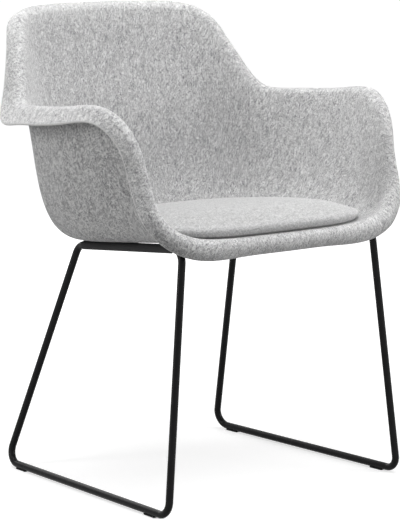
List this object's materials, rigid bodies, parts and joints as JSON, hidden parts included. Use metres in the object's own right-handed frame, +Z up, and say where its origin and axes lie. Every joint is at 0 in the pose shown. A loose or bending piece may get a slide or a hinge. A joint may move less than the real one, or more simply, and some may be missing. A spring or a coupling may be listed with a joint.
{
  "type": "felt chair",
  "caption": "Tub chair with a one-piece felt bucket, rolled rim, loose crowned seat pad and a round-bar sled base.",
  "frame": {"origin": "on the floor, under the middle of the chair's overall box", "axes": "+Z up, -Y the way the sitter faces, X across the chair with +X at the sitter's left; X = 0 is the plane of symmetry"},
  "size_m": [0.616, 0.5256, 0.7699],
  "materials": {
    "felt": "light grey melange felt, matt",
    "pad_felt": "paler grey melange felt, matt",
    "foam": "cut polyurethane foam",
    "black_steel": "satin black powder coat",
    "steel": "zinc-plated",
    "nylon": "black moulded nylon",
    "rubber": "black moulded rubber"
  },
  "bodies": {
    "chair": {"felt_shell": "felt", "sled_left": "black_steel", "sled_right": "black_steel", "strap_front": "black_steel", "strap_rear": "black_steel", "rail_sleeve_left": "nylon", "rail_sleeve_right": "nylon", "glide_front_left": "nylon", "glide_front_right": "nylon", "glide_rear_left": "nylon", "glide_rear_right": "nylon", "insert_front_left": "steel", "insert_front_right": "steel", "insert_rear_left": "steel", "insert_rear_right": "steel", "spacer_front_left": "rubber", "spacer_front_right": "rubber", "spacer_rear_left": "rubber", "spacer_rear_right": "rubber", "washer_front_left": "steel", "washer_front_right": "steel", "washer_rear_left": "steel", "washer_rear_right": "steel", "screw_front_left": "steel", "screw_front_right": "steel", "screw_rear_left": "steel", "screw_rear_right": "steel"},
    "seat_pad": {"pad_cover": "pad_felt", "pad_foam": "foam", "pad_base": "pad_felt"}
  },
  "joints": [
    {"name": "pad_lift", "type": "slide", "parent": "chair", "child": "seat_pad", "axis": [0, 0, 1], "range_m": [0, 0.25]}
  ]
}
